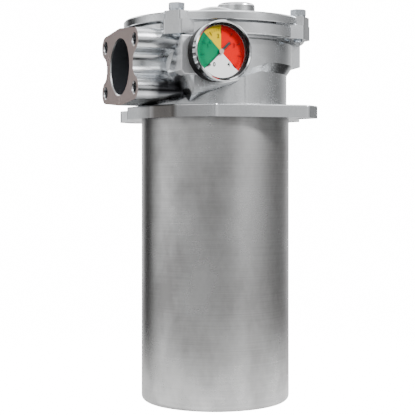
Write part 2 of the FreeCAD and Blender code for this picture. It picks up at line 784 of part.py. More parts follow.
def bypass_spring():
    return coil_spring(bypass_spring_r, bypass_spring_wire_r, bypass_spring_turns,
                       bypass_top() - cage_height + cage_floor, bypass_top() - bypass_disc_thickness - 0.02)


def hold_down_spring():
    seat = head_height + cover_rim_height - cover_plate_thickness + 1.5
    return coil_spring(hold_spring_r, hold_spring_wire_r, hold_spring_turns, element_top_z, seat)


TOWARDS = V(0, -1, 0)


def on_gauge(u, v, depth):
    """Point on the gauge: u to the right and v up on the dial, depth forward from the case back."""
    return V(gauge_x + u, case_back_y - depth, gauge_z + v)


def gauge_disc(radius, depth, thickness, u=0.0, v=0.0):
    return cylinder(radius, thickness, on_gauge(u, v, depth), TOWARDS)


def gauge_plate(points, depth, thickness):
    return prism([on_gauge(u, v, depth) for u, v in points], TOWARDS * thickness)


def front_depth():
    return gauge_depth


def dial_depth():
    """Depth of the dial's front face."""
    return front_depth() - bezel_lip_thickness - window_thickness - dial_to_window


def ring_on_gauge(points):
    """Turned gauge part from (radius, depth) points."""
    outline = [on_gauge(r, 0, d) for r, d in points]
    face = Part.Face(Part.makePolygon(outline + [outline[0]]))
    return face.revolve(on_gauge(0, 0, 0), TOWARDS, 360)


def gauge_case():
    rim = front_depth() - bezel_lip_thickness - window_thickness - gasket_thickness
    return ring_on_gauge([(stem_r + 0.3, 0), (case_r - 2.0, 0), (case_r, 2.0), (case_r, rim),
                          (case_r - case_wall, rim), (case_r - case_wall, 2.0 + case_wall / 2),
                          (case_r - 2.0 - case_wall / 2, case_wall), (stem_r + 0.3, case_wall)])


def gauge_bezel():
    front = front_depth()
    inner = case_r + 0.05
    return ring_on_gauge([(inner, front - bezel_depth), (bezel_r, front - bezel_depth),
                          (bezel_r, front - bezel_round), (bezel_r - bezel_round, front),
                          (bezel_lip_r + bezel_round, front), (bezel_lip_r, front - bezel_round),
                          (bezel_lip_r, front - bezel_lip_thickness),
                          (inner, front - bezel_lip_thickness)])


def gauge_window():
    return gauge_disc(case_r - 0.3, front_depth() - bezel_lip_thickness - window_thickness, window_thickness)


def gauge_window_gasket():
    depth = front_depth() - bezel_lip_thickness - window_thickness - gasket_thickness
    outer = gauge_disc(case_r - 0.1, depth, gasket_thickness)
    return outer.cut(gauge_disc(case_r - gasket_width, depth, gasket_thickness))


def dial_screw_places():
    return [(side * dial_screw_u, dial_screw_v) for side in (-1, 1)]


def gauge_dial():
    back = dial_depth() - dial_thickness
    dial = gauge_disc(dial_r, back, dial_thickness)
    dial = dial.cut(gauge_disc(dial_hole_r, back, dial_thickness))
    for u, v in dial_screw_places():
        dial = dial.cut(gauge_disc(dial_screw_r / 2 + 0.05, back, dial_thickness, u, v))
    return dial


def gauge_stem():
    """Brass socket: hexagon behind the case, threaded stub in the pad, block inside the case."""
    seat = pad_face_y - gauge_seal_thickness
    hexagon_part = hexagon(socket_hex_af, seat - case_back_y, V(gauge_x, seat, gauge_z), TOWARDS)
    stub = cylinder(stem_r, pad_face_y - case_back_y + stem_length + case_wall,
                    on_gauge(0, 0, case_wall), V(0, 1, 0))
    half = socket_block_width / 2
    block = gauge_plate([(-half, -socket_block_bottom), (half, -socket_block_bottom),
                         (half, socket_block_top), (-half, socket_block_top)],
                        case_wall, socket_block_depth)
    body = hexagon_part.fuse(stub).fuse(block)
    bore = cylinder(1.5, pad_face_y - case_back_y + stem_length + case_wall + 1,
                    on_gauge(0, 0, case_wall + 1), V(0, 1, 0))
    return body.cut(bore).cut(bourdon_tube()).removeSplitter()


def gauge_seal():
    return tube(gauge_seal_r, stem_r + 0.1, gauge_seal_thickness, V(gauge_x, pad_face_y, gauge_z), TOWARDS)


def tube_mid_depth():
    return case_wall + socket_block_depth / 2


def tube_end_angle():
    return math.radians(tube_start_deg + tube_sweep_deg)


def bourdon_tube():
    """C-shaped flattened tube from the socket block round to its free tip."""
    start = math.radians(tube_start_deg)
    end = tube_end_angle()

    def place(angle):
        return on_gauge(tube_bend_r * math.cos(angle), tube_bend_r * math.sin(angle), tube_mid_depth())
    bend = Part.Arc(place(start), place((start + end) / 2), place(end)).toShape()
    half_t = tube_thick / 2
    half_w = tube_wide / 2 - half_t
    outward = V(math.cos(start), 0, math.sin(start)) * half_t
    side = TOWARDS * half_w
    origin = place(start)
    section = Part.Wire([
        Part.makeLine(origin - outward - side, origin - outward + side),
        Part.Arc(origin - outward + side, origin + side + TOWARDS * half_t, origin + outward + side).toShape(),
        Part.makeLine(origin + outward + side, origin + outward - side),
        Part.Arc(origin + outward - side, origin - side - TOWARDS * half_t,
                 origin - outward - side).toShape()])
    return Part.Wire([bend]).makePipeShell([section], True, False)


def bourdon_tip():
    """End piece soldered to the free end of the tube."""
    angle = tube_end_angle()
    along = (math.sin(angle), -math.cos(angle))
    out = (math.cos(angle), math.sin(angle))
    half = tube_thick / 2 + 0.3
    points = []
    for step, side in ((0, -1), (0, 1), (tube_tip_length, 1), (tube_tip_length, -1)):
        points.append((tube_bend_r * out[0] + along[0] * step + out[0] * side * half,
                       tube_bend_r * out[1] + along[1] * step + out[1] * side * half))
    return gauge_plate(points, tube_mid_depth() - tube_wide / 2, tube_wide)


def plate_depth():
    """Front face of the socket block, where the movement's back plate is screwed."""
    return case_wall + socket_block_depth


def gear_depth():
    return plate_depth() + movement_plate + gear_lift


def sector_pivot_v():
    return -gear_module * (pinion_teeth + sector_full_teeth) / 2


def pillar_places():
    return [(-pillar_u, pillar_high_v), (pillar_u, pillar_high_v), (-pillar_u, pillar_low_v)]


def movement_back_plate():
    """T-shaped back plate with the two posts that carry the dial."""
    depth = plate_depth()
    w, bar = movement_half_width, movement_bar_half_width
    top = movement_top + movement_bar_height
    body = gauge_plate([(-w, -movement_bottom), (w, -movement_bottom), (w, movement_top),
                        (bar, movement_top), (bar, top), (-bar, top), (-bar, movement_top),
                        (-w, movement_top)], depth, movement_plate)
    post = dial_depth() - dial_thickness - depth
    for u, v in dial_screw_places():
        body = body.fuse(gauge_disc(dial_post_r, depth, post, u, v))
        body = body.cut(gauge_disc(dial_screw_r / 2 + arbor_gap, depth + post - dial_screw_length,
                                   dial_screw_length, u, v))
    for v in (0, sector_pivot_v()):
        body = body.cut(gauge_disc(arbor_r + arbor_gap, depth, movement_plate, 0, v))
    return body.removeSplitter()


def movement_front_plate():
    """Front plate on three pillars riveted to it."""
    depth = plate_depth() + movement_plate + movement_gap
    w = movement_half_width
    body = gauge_plate([(-w, -movement_bottom), (w, -movement_bottom), (w, movement_top),
                        (-w, movement_top)], depth, movement_plate)
    for v in (0, sector_pivot_v()):
        body = body.cut(gauge_disc(arbor_r + arbor_gap, depth, movement_plate, 0, v))
    return body


def movement_pillars():
    depth = plate_depth() + movement_plate
    return Part.makeCompound([gauge_disc(pillar_r, depth, movement_gap, u, v) for u, v in pillar_places()])


def flank(teeth):
    """Half-tooth angle at each radius from root to tip of an involute tooth."""
    pitch_r = gear_module * teeth / 2
    pressure = math.radians(gear_pressure_deg)
    base_r = pitch_r * math.cos(pressure)
    tip_r = pitch_r + gear_addendum * gear_module
    root_r = pitch_r - gear_dedendum * gear_module
    half = (math.pi * gear_module / 2 - gear_backlash) / 2 / pitch_r + math.tan(pressure) - pressure
    start = max(base_r, root_r)
    radii = [root_r] if root_r < base_r else []
    radii += [start + (tip_r - start) * k / 4 for k in range(5)]
    result = []
    for radius in radii:
        turn = math.acos(min(1.0, base_r / radius))
        result.append((radius, half - (math.tan(turn) - turn)))
    return result


def tooth_row(teeth, centres):
    """Outline of a row of teeth about (0, 0), clockwise angles from straight up in radians."""
    points = []
    for centre in centres:
        points += [(r, centre - a) for r, a in flank(teeth)]
        points += [(r, centre + a) for r, a in flank(teeth)[::-1]]
    return [(r * math.sin(a), r * math.cos(a)) for r, a in points]


def pinion_arbor():
    """Staff with its pinion, through both plates and the dial to the pointer."""
    pitch = 2 * math.pi / pinion_teeth
    low = plate_depth() + 0.1
    high = pointer_depth() + pointer_thickness + 0.2
    row = tooth_row(pinion_teeth, [(k + 0.5) * pitch + math.pi for k in range(pinion_teeth)])
    pinion = gauge_plate(row, gear_depth(), gear_width)
    shoulder = gauge_disc(arbor_r + 0.5, plate_depth() + movement_plate + 0.1, 0.5)
    return pinion.fuse(gauge_disc(arbor_r, low, high - low)).fuse(shoulder).removeSplitter()


def tail_end():
    angle = math.radians(sector_tail_deg)
    return sector_tail * math.sin(angle), sector_pivot_v() + sector_tail * math.cos(angle)


def sector_gear():
    """Sector with its staff, its toothed rim up towards the pinion and its tail to the link."""
    pitch = 2 * math.pi / sector_full_teeth
    pivot = sector_pivot_v()
    numbers = range(sector_first_tooth, sector_last_tooth + 1)
    row = tooth_row(sector_full_teeth, [k * pitch for k in numbers])
    fan = gauge_plate([(0, pivot)] + [(u, v + pivot) for u, v in row], gear_depth(), gear_width)
    rim_r = gear_module * sector_full_teeth / 2 - gear_dedendum * gear_module - sector_rim
    first, last = (sector_first_tooth + 1.2) * pitch, (sector_last_tooth - 1.2) * pitch
    inner = sector_hub_r + 1.2
    window = [(inner * math.sin(first), inner * math.cos(first))]
    window += [(rim_r * math.sin(first + (last - first) * k / 8), rim_r * math.cos(first + (last - first) * k / 8))
               for k in range(9)]
    window += [(inner * math.sin(last), inner * math.cos(last))]
    fan = fan.cut(gauge_plate([(u, v + pivot) for u, v in window], gear_depth(), gear_width))
    u, v = tail_end()
    w = sector_tail_half_width
    length = math.hypot(u, v - pivot)
    across = ((v - pivot) / length * w, -u / length * w)
    tail = gauge_plate([(across[0], pivot + across[1]), (-across[0], pivot - across[1]),
                        (u - across[0], v - across[1]), (u + across[0], v + across[1])],
                       gear_depth(), gear_width)
    low = plate_depth() + 0.1
    staff = gauge_disc(arbor_r, low, 2 * movement_plate + movement_gap - 0.2, 0, pivot)
    hub = gauge_disc(sector_hub_r, gear_depth() - 0.4, gear_width + 0.8, 0, pivot)
    body = fan.fuse(tail).fuse(gauge_disc(w, gear_depth(), gear_width, u, v)).fuse(staff).fuse(hub)
    return body.cut(gauge_disc(pivot_pin_r + arbor_gap, gear_depth(), gear_width, u, v)).removeSplitter()


def tip_link():
    """Link from the sector's tail to the tube's tip, with a pin at each end."""
    depth = gear_depth() - link_gap - link_thickness
    angle = tube_end_angle()
    u0, v0 = tail_end()
    u1 = tube_bend_r * math.cos(angle) + math.sin(angle) * tube_tip_length / 2
    v1 = tube_bend_r * math.sin(angle) - math.cos(angle) * tube_tip_length / 2
    length = math.hypot(u1 - u0, v1 - v0)
    across = (-(v1 - v0) / length * link_half_width, (u1 - u0) / length * link_half_width)
    body = gauge_plate([(u0 + across[0], v0 + across[1]), (u0 - across[0], v0 - across[1]),
                        (u1 - across[0], v1 - across[1]), (u1 + across[0], v1 + across[1])],
                       depth, link_thickness)
    for u, v in ((u0, v0), (u1, v1)):
        body = body.fuse(gauge_disc(link_half_width, depth, link_thickness, u, v))
    body = body.fuse(gauge_disc(pivot_pin_r, depth, link_thickness + link_gap + gear_width + 0.2, u0, v0))
    tip_face = tube_mid_depth() + tube_wide / 2
    body = body.fuse(gauge_disc(pivot_pin_r, tip_face + link_gap, depth - tip_face - link_gap, u1, v1))
    return body.removeSplitter()


def pointer_depth():
    return dial_depth() + 0.9


def gauge_pointer():
    """Thin black pointer with a thick tail and a round hub."""
    angle = math.radians(pointer_rest_deg)
    along = (math.cos(angle), math.sin(angle))
    out = (-math.sin(angle), math.cos(angle))

    def blade(reach, root_half, tip_half):
        points = [(out[0] * root_half, out[1] * root_half),
                  (along[0] * reach + out[0] * tip_half, along[1] * reach + out[1] * tip_half),
                  (along[0] * reach - out[0] * tip_half, along[1] * reach - out[1] * tip_half),
                  (-out[0] * root_half, -out[1] * root_half)]
        return gauge_plate(points, pointer_depth(), pointer_thickness)
    needle = blade(pointer_length, pointer_half_width, pointer_half_width * 0.6)
    tail = blade(-pointer_tail, pointer_tail_half_width, pointer_tail_half_width)
    tail_end_disc = gauge_disc(pointer_tail_half_width, pointer_depth(), pointer_thickness,
                               -along[0] * pointer_tail, -along[1] * pointer_tail)
    hub = gauge_disc(pointer_hub_r, pointer_depth() - 0.3, pointer_hub_height)
    body = needle.fuse(tail).fuse(tail_end_disc).fuse(hub)
    return body.cut(gauge_disc(arbor_r + 0.01, pointer_depth() - 0.3, pointer_thickness + 0.5)).removeSplitter()


def zero_stop_pin():
    """Pin in the dial that the pointer rests against at zero."""
    angle = math.radians(pointer_rest_deg)
    reach = pointer_length - 1.6
    side = pointer_half_width + stop_pin_r
    u = reach * math.cos(angle) - side * math.sin(angle)
    v = reach * math.sin(angle) + side * math.cos(angle)
    return gauge_disc(stop_pin_r, dial_depth(), stop_pin_height, u, v)


def dial_screws():
    screws = []
    for u, v in dial_screw_places():
        head = gauge_disc(dial_screw_r, dial_depth(), dial_screw_height, u, v)
        shank = gauge_disc(dial_screw_r / 2, dial_depth() - dial_screw_length, dial_screw_length, u, v)
        screws.append(head.fuse(shank).removeSplitter())
    return Part.makeCompound(screws)


NODES = [head_casting, bowl, bowl_o_ring, cover, cover_o_ring, cover_flat_washers, cover_lock_washers,
         cover_bolts, hold_down_spring, element_top_cap, element_media, element_core, element_bottom_cap,
         element_o_ring, bypass_cage, bypass_poppet, bypass_spring, gauge_stem, gauge_seal, gauge_case,
         gauge_bezel, gauge_window, gauge_window_gasket, gauge_dial, dial_screws, zero_stop_pin,
         gauge_pointer, pinion_arbor, sector_gear, tip_link, bourdon_tube, bourdon_tip,
         movement_back_plate, movement_front_plate, movement_pillars]

for node in NODES:
    save(node.__name__, node())
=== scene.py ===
import bpy
import bmesh
import math
from mathutils import Matrix, Vector


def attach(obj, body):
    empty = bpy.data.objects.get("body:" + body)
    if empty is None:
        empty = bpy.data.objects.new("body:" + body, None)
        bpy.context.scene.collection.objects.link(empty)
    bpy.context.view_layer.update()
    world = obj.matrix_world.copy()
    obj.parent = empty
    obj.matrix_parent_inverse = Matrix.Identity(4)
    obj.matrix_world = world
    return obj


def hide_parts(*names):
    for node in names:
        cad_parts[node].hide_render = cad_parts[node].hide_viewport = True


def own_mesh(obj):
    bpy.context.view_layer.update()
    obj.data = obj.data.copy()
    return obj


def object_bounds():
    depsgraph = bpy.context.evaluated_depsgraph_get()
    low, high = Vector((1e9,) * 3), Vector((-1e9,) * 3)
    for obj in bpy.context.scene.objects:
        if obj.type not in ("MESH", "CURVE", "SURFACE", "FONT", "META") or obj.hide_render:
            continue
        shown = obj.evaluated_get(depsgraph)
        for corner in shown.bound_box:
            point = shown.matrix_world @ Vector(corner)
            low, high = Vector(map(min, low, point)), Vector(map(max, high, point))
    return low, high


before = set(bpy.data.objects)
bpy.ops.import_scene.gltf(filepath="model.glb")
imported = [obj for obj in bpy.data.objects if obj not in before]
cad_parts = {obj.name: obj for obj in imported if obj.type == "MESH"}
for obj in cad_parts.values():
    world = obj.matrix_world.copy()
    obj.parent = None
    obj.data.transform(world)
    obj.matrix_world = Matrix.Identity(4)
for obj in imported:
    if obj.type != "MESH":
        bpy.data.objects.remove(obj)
cad_box = [list(corner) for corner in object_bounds()]


# Camera and studio.
# The camera stands level with the top third of the bowl, a little over a metre away, turned towards
# the port. Round the part is a pale floor and a light tent: soft panels ahead, overhead and at the
# back, with darker gaps at the sides that put the shaded bands on the bowl.

TURN = math.radians(24.3)
AHEAD = Vector((math.sin(TURN), math.cos(TURN), 0))
SIDE = Vector((math.cos(TURN), -math.sin(TURN), 0))
CAMERA_REACH = 1.077
CAMERA_HEIGHT = -0.0554

# The focal length is in millimetres. The two shifts set the part's place in the picture.
lens = bpy.data.cameras.new("camera")
lens.sensor_width = 36
lens.lens = 98.11
lens.shift_x = -0.01855
lens.shift_y = -0.0687
camera = bpy.data.objects.new("camera", lens)
camera.location = AHEAD * -CAMERA_REACH + Vector((0, 0, CAMERA_HEIGHT))
camera.rotation_euler = (math.radians(90), 0, -TURN)
bpy.context.collection.objects.link(camera)
bpy.context.scene.camera = camera


def linear(hex_value, alpha=1.0):
    """An sRGB hex colour as the linear one that a shader takes."""
    parts = [int(hex_value[i:i + 2], 16) / 255 for i in (1, 3, 5)]
    return [p / 12.92 if p < 0.04045 else ((p + 0.055) / 1.055) ** 2.4 for p in parts] + [alpha]


def add(tree, kind, settings=None, **inputs):
    """Adds a node. An input is a value, or another node's output socket."""
    node = tree.nodes.new(kind)
    for key, value in (settings or {}).items():
        setattr(node, key, value)
    for key, value in inputs.items():
        socket = node.inputs[int(key[1:])] if key[0] == "_" else node.inputs[key.replace("_", " ")]
        if isinstance(value, bpy.types.NodeSocket):
            tree.links.new(value, socket)
        else:
            socket.default_value = value
    return node


def ramp(tree, value, stops):
    """A colour ramp with the given (place, grey or colour) stops."""
    node = add(tree, "ShaderNodeValToRGB", _0=value)
    band = node.color_ramp
    while len(band.elements) < len(stops):
        band.elements.new(1.0)
    for element, (place, shade) in zip(band.elements, stops):
        element.position = place
        element.color = shade if hasattr(shade, "__len__") else (shade, shade, shade, 1)
    return node.outputs["Color"]


# How bright the tent and the floor are where the camera looks straight at them: plain white.
WHITE = 16.0

# Brightness round the horizon, by the angle from the camera's direction: left is minus.
ROUND = [(-180, 1.50), (-158, 1.30), (-142, 0.20), (-134, 0.02), (-121, 0.02), (-104, 0.66), (-86, 1.45),
         (-64, 0.85), (-36, 0.55), (-4, 0.45), (20, 0.46), (42, 0.84), (60, 0.58), (92, 0.28), (112, 0.19),
         (130, 0.26), (154, 0.80), (180, 1.50)]

# Brightness by the sine of the height, and how much the horizon's own brightness takes part there.
BANDS = [(-1.0, 0.05), (-0.30, 0.03), (0.16, 0.06), (0.30, 0.08), (0.42, 2.8), (0.56, 2.8), (0.68, 0.5),
         (1.0, 0.4)]
SHARE = [(-0.25, 0.0), (-0.06, 1.0), (0.14, 1.0), (0.25, 0.0)]

world = bpy.data.worlds.new("studio")
bpy.context.scene.world = world
world.use_nodes = True
sky = world.node_tree
sky.nodes.clear()
look = add(sky, "ShaderNodeTexCoord").outputs["Generated"]
across = add(sky, "ShaderNodeVectorMath", {"operation": "DOT_PRODUCT"}, _0=look, _1=SIDE).outputs["Value"]
toward = add(sky, "ShaderNodeVectorMath", {"operation": "DOT_PRODUCT"}, _0=look, _1=-AHEAD).outputs["Value"]
angle = add(sky, "ShaderNodeMath", {"operation": "ARCTAN2"}, _0=across, _1=toward).outputs[0]
place = add(sky, "ShaderNodeMapRange", _0=angle, _1=-math.pi, _2=math.pi, _3=0.0, _4=1.0).outputs[0]
horizon = ramp(sky, place, [((a + 180) / 360, b) for a, b in ROUND])
height = add(sky, "ShaderNodeSeparateXYZ", _0=look).outputs["Z"]
level = add(sky, "ShaderNodeMapRange", _0=height, _1=-1.0, _2=1.0).outputs[0]
bands = ramp(sky, level, [((z + 1) / 2, shade) for z, shade in BANDS])
near = ramp(sky, level, [((z + 1) / 2, share) for z, share in SHARE])
tent = add(sky, "ShaderNodeMix", {"data_type": "RGBA"}, _0=near, _6=bands, _7=horizon).outputs[2]
seen = add(sky, "ShaderNodeLightPath").outputs["Is Camera Ray"]
shown = add(sky, "ShaderNodeMix", {"data_type": "RGBA"},
            _0=seen, _6=tent, _7=(WHITE, WHITE, WHITE, 1)).outputs[2]
sheet = add(sky, "ShaderNodeBackground", Color=shown, Strength=1.0)
add(sky, "ShaderNodeOutputWorld", _0=sheet.outputs[0])

LAMPS = (("key", (0.62, -0.80, 0.72), 0.22, 30.0), ("fill", (-0.85, -0.65, 0.55), 0.70, 1.2),
         ("top", (0.05, 0.10, 1.05), 0.80, 4.0))
for name, spot, size, power in LAMPS:
    panel = bpy.data.lights.new(name, "AREA")
    panel.size = size
    panel.energy = power
    lamp = bpy.data.objects.new(name, panel)
    lamp.location = spot
    lamp.rotation_euler = (Vector((0, 0, -0.02)) - Vector(spot)).to_track_quat("-Z", "Y").to_euler()
    bpy.context.collection.objects.link(lamp)

# The floor fades out before its rim. Its own glow, which lights the bowl's lower end, fades sooner.
FLOOR_R = 0.80
FADE_START, FADE_END = 0.26, 0.55
GLOW_START, GLOW_END = 0.08, 0.34
GLOW_NEAR, GLOW_FAR = 0.55, 0.03
floor_mesh = bpy.data.meshes.new("floor")
disc = bmesh.new()
bmesh.ops.create_circle(disc, cap_ends=True, segments=96, radius=FLOOR_R,
                        matrix=Matrix.Translation((0, 0, cad_box[0][2])))
disc.to_mesh(floor_mesh)
disc.free()
floor = bpy.data.objects.new("floor", floor_mesh)
bpy.context.collection.objects.link(floor)
paper = bpy.data.materials.new("white_paper")
paper.use_nodes = True
tree = paper.node_tree
tree.nodes.clear()
spot = add(tree, "ShaderNodeTexCoord").outputs["Object"]
flat = add(tree, "ShaderNodeVectorMath", {"operation": "MULTIPLY"}, _0=spot, _1=(1, 1, 0)).outputs[0]
reach = add(tree, "ShaderNodeVectorMath", {"operation": "LENGTH"}, _0=flat).outputs["Value"]
fade = add(tree, "ShaderNodeMapRange", {"interpolation_type": "SMOOTHSTEP"},
           _0=reach, _1=FADE_START, _2=FADE_END, _3=1.0, _4=0.0).outputs[0]
seen = add(tree, "ShaderNodeLightPath").outputs["Is Camera Ray"]
close = add(tree, "ShaderNodeMapRange", {"interpolation_type": "SMOOTHSTEP"},
            _0=reach, _1=GLOW_START, _2=GLOW_END, _3=GLOW_NEAR, _4=GLOW_FAR).outputs[0]
glow = add(tree, "ShaderNodeMapRange", _0=seen, _3=close, _4=WHITE).outputs[0]
bright = add(tree, "ShaderNodeBsdfPrincipled", Base_Color=linear("#A8A8A7"), Roughness=0.85,
             Emission_Color=linear("#FFFFFF"), Emission_Strength=glow)
clear = add(tree, "ShaderNodeBsdfTransparent")
both = add(tree, "ShaderNodeMixShader", _0=fade, _1=clear.outputs[0], _2=bright.outputs[0])
add(tree, "ShaderNodeOutputMaterial", _0=both.outputs[0])
floor_mesh.materials.append(paper)


# Head casting and cover.
# The head and its cover are fine-grained aluminium castings, tumbled bright to a satin skin. The port's
# face is milled and the gauge pad is shot-blasted. Shade is painted in as darker grey inside the port, in
# the recess under the port neck and on the plate's edge by the port.

CLOUD = 0.020


def metal(name, colour, dark, roughness, grain, bump, spread=0.08):
    """A metal or moulded skin with grain of that size in metres, and slow clouds of tone."""
    material = bpy.data.materials.new(name)
    material.use_nodes = True
    tree = material.node_tree
    tree.nodes.clear()
    spot = add(tree, "ShaderNodeTexCoord").outputs["Object"]
    fine = add(tree, "ShaderNodeTexNoise", Vector=spot, Scale=1 / grain, Detail=3.0).outputs[0]
    slow = add(tree, "ShaderNodeTexNoise", Vector=spot, Scale=1 / CLOUD, Detail=2.0).outputs[0]
    mixed = add(tree, "ShaderNodeMath", {"operation": "MULTIPLY_ADD"}, _0=fine, _1=0.5, _2=slow).outputs[0]
    tone = ramp(tree, mixed, [(0.45, linear(dark)), (1.0, linear(colour))])
    rough = add(tree, "ShaderNodeMapRange", _0=mixed, _1=0.4, _2=1.1,
                _3=roughness + spread, _4=roughness - spread).outputs[0]
    relief = add(tree, "ShaderNodeBump", Strength=1.0, Distance=bump, Height=fine).outputs[0]
    skin = add(tree, "ShaderNodeBsdfPrincipled",
               Base_Color=tone, Metallic=1.0, Roughness=rough, Normal=relief)
    add(tree, "ShaderNodeOutputMaterial", _0=skin.outputs[0])
    return material, tree, skin, spot


def dress(material, *names):
    """Gives the material to every slot of those nodes."""
    for name in names:
        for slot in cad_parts[name].material_slots:
            slot.material = material


def finish(name, material, sharp=28):
    """Stands a copy of a fixed piece in its place, with its flat faces shaded flat and its edges crisp."""
    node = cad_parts[name]
    shape = bmesh.new()
    shape.from_mesh(node.data)
    shape.transform(node.matrix_world)
    bmesh.ops.remove_doubles(shape, verts=shape.verts, dist=1e-6)
    bmesh.ops.dissolve_limit(shape, angle_limit=math.radians(0.2), verts=shape.verts, edges=shape.edges)
    for face in shape.faces:
        face.smooth = True
        face.material_index = 0
    for edge in shape.edges:
        edge.smooth = edge.calc_face_angle(0.0) < math.radians(sharp)
    mesh = bpy.data.meshes.new(name + "_finish")
    shape.to_mesh(mesh)
    shape.free()
    if "custom_normal" in mesh.attributes:
        mesh.attributes.remove(mesh.attributes["custom_normal"])
    mesh.materials.clear()
    mesh.materials.append(material)
    piece = bpy.data.objects.new(name + "_finish", mesh)
    bpy.context.collection.objects.link(piece)
    level = piece.modifiers.new("level", "WEIGHTED_NORMAL")
    level.keep_sharp = True
    level.weight = 100
    seen = piece.evaluated_get(bpy.context.evaluated_depsgraph_get())
    piece.data = bpy.data.meshes.new_from_object(seen)
    piece.modifiers.remove(level)
    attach(piece, "filter")
    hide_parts(name)
    return piece


# Tumbled aluminium casting: pale, with a 2 mm orange-peel grain that breaks up its highlights.
cast_aluminium, tree, skin, spot = metal("tumbled_cast_aluminium", "#F4F6F8", "#DCDFE2",
                                         0.23, 0.0020, 0.000004)

# Milled port face: the same metal in rings 0.8 mm apart about the port's centre, darker and browner.
PORT_X, PORT_Z, PORT_R = -0.0965, 0.0473, 0.0255
MILLING = 0.0008
along = add(tree, "ShaderNodeSeparateXYZ", _0=spot)
cut = add(tree, "ShaderNodeMapRange", _0=along.outputs["X"], _1=PORT_X + 0.0001, _2=PORT_X + 0.0002,
          _3=1.0, _4=0.0).outputs[0]
from_port = add(tree, "ShaderNodeVectorMath", {"operation": "SUBTRACT"},
                _0=spot, _1=(0, 0, PORT_Z)).outputs[0]
on_face = add(tree, "ShaderNodeVectorMath", {"operation": "MULTIPLY"},
              _0=from_port, _1=(0, 1, 1)).outputs[0]
ring = add(tree, "ShaderNodeVectorMath", {"operation": "LENGTH"}, _0=on_face).outputs["Value"]
phase = add(tree, "ShaderNodeMath", {"operation": "MULTIPLY"}, _0=ring, _1=2 * math.pi / MILLING).outputs[0]
wave = add(tree, "ShaderNodeMath", {"operation": "SINE"}, _0=phase).outputs[0]
crest = add(tree, "ShaderNodeMapRange", _0=wave, _1=-1.0, _2=1.0).outputs[0]
ring_tone = ramp(tree, crest, [(0.0, linear("#C2B0AC")), (1.0, linear("#D2C0BC"))])
cast_tone = skin.inputs["Base Color"].links[0].from_socket
milled = add(tree, "ShaderNodeMix", {"data_type": "RGBA"}, _0=cut, _6=cast_tone, _7=ring_tone).outputs[2]

# Inside of the port, from its bright chamfer to the head's far wall: rough as cast, with its shade painted
# in as a dark grey.
FAR_WALL_X = 0.0620
in_port = add(tree, "ShaderNodeMapRange", _0=ring, _1=PORT_R + 0.00002, _2=PORT_R + 0.00012,
              _3=1.0, _4=0.0).outputs[0]
past_edge = add(tree, "ShaderNodeMapRange", _0=along.outputs["X"],
                _1=PORT_X + 0.0010, _2=PORT_X + 0.0013).outputs[0]
bore_shade = add(tree, "ShaderNodeMath", {"operation": "MULTIPLY"}, _0=in_port, _1=past_edge).outputs[0]
left = add(tree, "ShaderNodeMapRange", _0=along.outputs["X"],
           _1=FAR_WALL_X + 0.001, _2=FAR_WALL_X).outputs[0]
dark = add(tree, "ShaderNodeMath", {"operation": "MULTIPLY"}, _0=bore_shade, _1=left).outputs[0]
inner = add(tree, "ShaderNodeMix", {"data_type": "RGBA"},
            _0=dark, _6=milled, _7=linear("#54575C")).outputs[2]
dull = add(tree, "ShaderNodeMath", {"operation": "MAXIMUM"}, _0=cut, _1=dark).outputs[0]


def within(tree, place, box, low_fade, high_fade):
    """One inside the box and nought outside it, with soft borders of those widths in metres."""
    share = 1.0
    for axis, low, high in box:
        begin = add(tree, "ShaderNodeMapRange", _0=place.outputs[axis],
                    _1=low, _2=low + low_fade).outputs[0]
        end = add(tree, "ShaderNodeMapRange", _0=place.outputs[axis], _1=high - high_fade, _2=high,
                  _3=1.0, _4=0.0).outputs[0]
        span = add(tree, "ShaderNodeMath", {"operation": "MULTIPLY"}, _0=begin, _1=end).outputs[0]
        share = add(tree, "ShaderNodeMath", {"operation": "MULTIPLY"}, _0=share, _1=span).outputs[0]
    return share


# Recess under the port neck: its shade is painted into the skin as a darker grey.
SHADED_RECESS = (("X", -0.0860, -0.0340), ("Y", -0.0620, 0.0620), ("Z", 0.0110, 0.0390))
recess_shade = within(tree, along, SHADED_RECESS, 0.010, 0.010)
recess_shaded = add(tree, "ShaderNodeMix", {"data_type": "RGBA"},
           _0=recess_shade, _6=inner, _7=linear("#4A4B4E")).outputs[2]

# Edge of the mounting plate: painted shade of the port's flange on its front edge between port and gauge,
# none elsewhere. Each row is a place along X and how much of the painted shade is there.
EDGE = (("X", -0.2, 0.2), ("Y", -0.2, 0.2), ("Z", -0.0010, 0.0122))
EDGE_SHADE = ((-0.090, 0.95), (-0.063, 0.95), (-0.060, 0.50), (-0.036, 0.27), (-0.033, 0.08), (0.030, 0.0))
edge = within(tree, along, EDGE, 0.001, 0.0006)
shade_start, shade_end = EDGE_SHADE[0][0], EDGE_SHADE[-1][0]
by_port = add(tree, "ShaderNodeMapRange", _0=along.outputs["X"], _1=shade_start, _2=shade_end).outputs[0]
shade_along = ramp(tree, by_port, [((x - shade_start) / (shade_end - shade_start), share) for x, share in EDGE_SHADE])
gauge_side = add(tree, "ShaderNodeMapRange", _0=along.outputs["Y"], _1=-0.028, _2=-0.004,
                 _3=1.0, _4=0.0).outputs[0]
front_shade = add(tree, "ShaderNodeMath", {"operation": "MULTIPLY"}, _0=shade_along, _1=gauge_side).outputs[0]
edge_shade = add(tree, "ShaderNodeMath", {"operation": "MULTIPLY"}, _0=edge, _1=front_shade).outputs[0]
edge_shaded = add(tree, "ShaderNodeMix", {"data_type": "RGBA"},
            _0=edge_shade, _6=recess_shaded, _7=linear("#4E4A47")).outputs[2]
tree.links.new(edge_shaded, skin.inputs["Base Color"])

